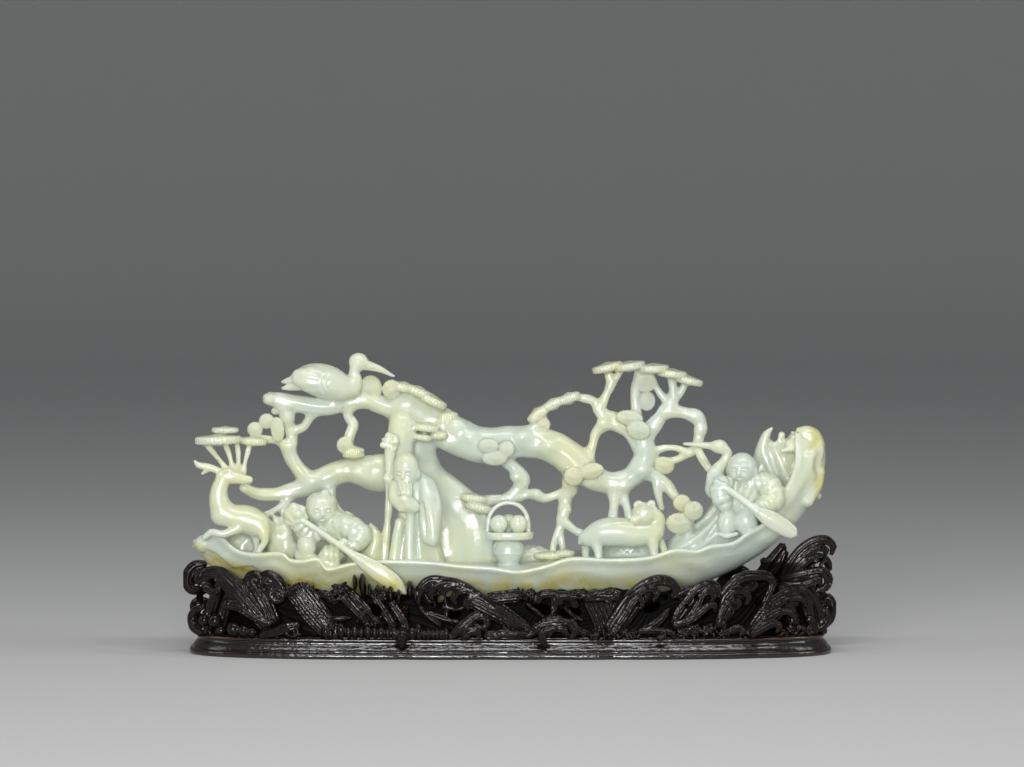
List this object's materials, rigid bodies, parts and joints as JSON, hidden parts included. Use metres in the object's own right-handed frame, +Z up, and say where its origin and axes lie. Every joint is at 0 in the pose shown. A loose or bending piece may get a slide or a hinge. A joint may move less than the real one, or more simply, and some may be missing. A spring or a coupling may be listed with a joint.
{
  "type": "jade figure group",
  "caption": "Pale jade openwork carving of a log raft with an elder, rowing boys, birds, deer, lion dog, peaches and pine, resting on a dark carved wood wave stand.",
  "frame": {"origin": "middle of the stand's underside, at the middle of the overall box", "axes": "+Z up, +X towards the raft's raised prow, the carving's front faces -Y"},
  "size_m": [0.3258, 0.0942, 0.15],
  "materials": {
    "jade": "polished pale celadon jade with russet skin at the edges",
    "hardwood": "dark waxed hardwood"
  },
  "bodies": {
    "root": {"jade_raft_group": "jade", "wave_stand": "hardwood"}
  },
  "joints": []
}
